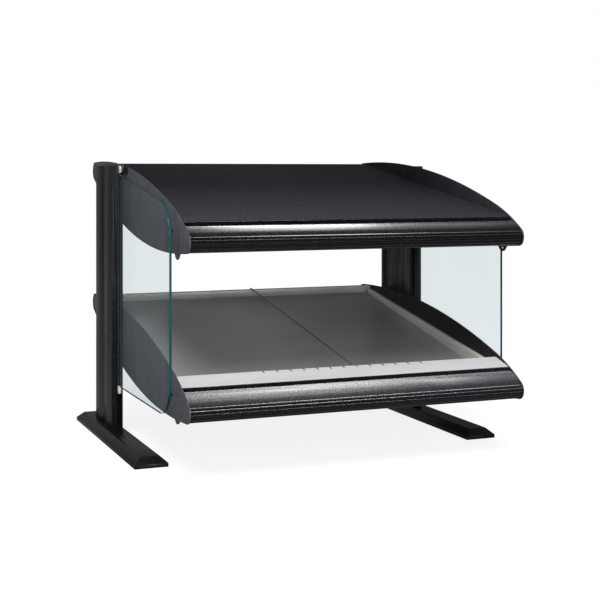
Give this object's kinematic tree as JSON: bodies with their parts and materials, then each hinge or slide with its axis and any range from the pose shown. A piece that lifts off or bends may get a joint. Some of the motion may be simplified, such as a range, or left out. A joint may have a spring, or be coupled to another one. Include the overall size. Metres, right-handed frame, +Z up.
{
  "type": "heated display case",
  "caption": "Countertop heated display case: a slanted warming shelf under a heated canopy, held by slotted posts on bevelled feet, with glass sides and a notched divider strip.",
  "frame": {"origin": "on the counter, under the centre of the case's bounding box", "axes": "front faces -Y, width along X, +Z up"},
  "size_m": [0.976, 0.964, 0.7337],
  "materials": {
    "black_powder_coat": "fine textured satin powder coat",
    "charcoal_powder_coat": "fine textured satin powder coat",
    "grey_powder_coat": "coarse textured powder coat",
    "black_post_coat": "black powder coat on extruded and cast aluminium",
    "black_rail_coat": "smoother, glossier black coat on extruded aluminium",
    "rubber": "matte",
    "zinc_steel": "zinc plated",
    "aluminised_steel": "mill finish sheet",
    "bright_reflector": "bright rolled",
    "heating_sheath": "heat-darkened sheath",
    "white_ceramic": "unglazed",
    "guard_wire": "bright drawn wire",
    "mineral_wool": "fibrous board",
    "light_board": "white circuit board with lamps",
    "lens": "clear",
    "deck_stainless": "brushed stainless",
    "brushed_strip": "brushed stainless, bright",
    "heater_foil": "silicone sheet",
    "copper": "copper bulb",
    "cream_plastic": "moulded",
    "black_plastic": "moulded",
    "red_plastic": "moulded",
    "amber_lamp": "translucent lens",
    "clear_glass": "polished edges"
  },
  "bodies": {
    "case": {"left_foot": "black_post_coat", "right_foot": "black_post_coat", "left_foot_pads": "rubber", "right_foot_pads": "rubber", "foot_bolts": "zinc_steel", "left_post": "black_post_coat", "right_post": "black_post_coat", "left_post_top": "black_post_coat", "right_post_top": "black_post_coat", "canopy_left_cap": "grey_powder_coat", "canopy_right_cap": "grey_powder_coat", "shelf_left_cap": "grey_powder_coat", "shelf_right_cap": "grey_powder_coat", "cap_screws": "zinc_steel", "roof_panel": "charcoal_powder_coat", "canopy_front_rail": "black_rail_coat", "canopy_rear_panel": "black_powder_coat", "canopy_under_panel": "aluminised_steel", "heat_reflector": "bright_reflector", "heating_rods": "heating_sheath", "rod_insulators": "white_ceramic", "heater_guard": "guard_wire", "canopy_insulation": "mineral_wool", "light_channel": "aluminised_steel", "light_strip": "light_board", "light_lens": "lens", "shelf_deck": "deck_stainless", "shelf_rear_lip": "deck_stainless", "shelf_left_trim": "deck_stainless", "shelf_right_trim": "deck_stainless", "notched_strip": "brushed_strip", "shelf_front_rail": "black_rail_coat", "shelf_under_panel": "black_powder_coat", "deck_heater": "heater_foil", "deck_insulation": "mineral_wool", "deck_sensor": "copper", "terminal_block": "cream_plastic", "control_panel": "black_powder_coat", "panel_screws": "zinc_steel", "cable_gland": "black_plastic", "power_switch_housing": "black_plastic", "light_switch_housing": "black_plastic", "canopy_control": "cream_plastic", "deck_control": "cream_plastic", "indicator_lamps": "amber_lamp", "left_glass": "clear_glass", "right_glass": "clear_glass", "left_glass_gaskets": "rubber", "right_glass_gaskets": "rubber", "glass_clamps": "brushed_strip", "glass_stops": "brushed_strip", "glass_bumpers": "rubber", "glass_brackets": "black_post_coat"},
    "power_rocker": {"power_rocker": "red_plastic"},
    "light_rocker": {"light_rocker": "black_plastic"},
    "canopy_knob": {"canopy_heat_knob": "black_plastic", "canopy_control_shaft": "zinc_steel"},
    "deck_knob": {"deck_heat_knob": "black_plastic", "deck_control_shaft": "zinc_steel"},
    "divider": {"divider_rod": "guard_wire"}
  },
  "joints": [
    {"name": "power_rocker_tilt", "type": "hinge", "parent": "case", "child": "power_rocker", "pos_m": [-0.155, 0.427, 0.326], "axis": [1, 0, 0], "range_deg": [0, 14]},
    {"name": "light_rocker_tilt", "type": "hinge", "parent": "case", "child": "light_rocker", "pos_m": [-0.093, 0.427, 0.326], "axis": [1, 0, 0], "range_deg": [0, 14]},
    {"name": "canopy_knob_turn", "type": "hinge", "parent": "case", "child": "canopy_knob", "pos_m": [-0.0155, 0.43, 0.326], "axis": [0, -1, 0], "range_deg": [0, 270]},
    {"name": "deck_knob_turn", "type": "hinge", "parent": "case", "child": "deck_knob", "pos_m": [0.0589, 0.43, 0.326], "axis": [0, -1, 0], "range_deg": [0, 270]},
    {"name": "divider_lift", "type": "slide", "parent": "case", "child": "divider", "axis": [0, 0, 1], "range_m": [0, 0.04]}
  ]
}
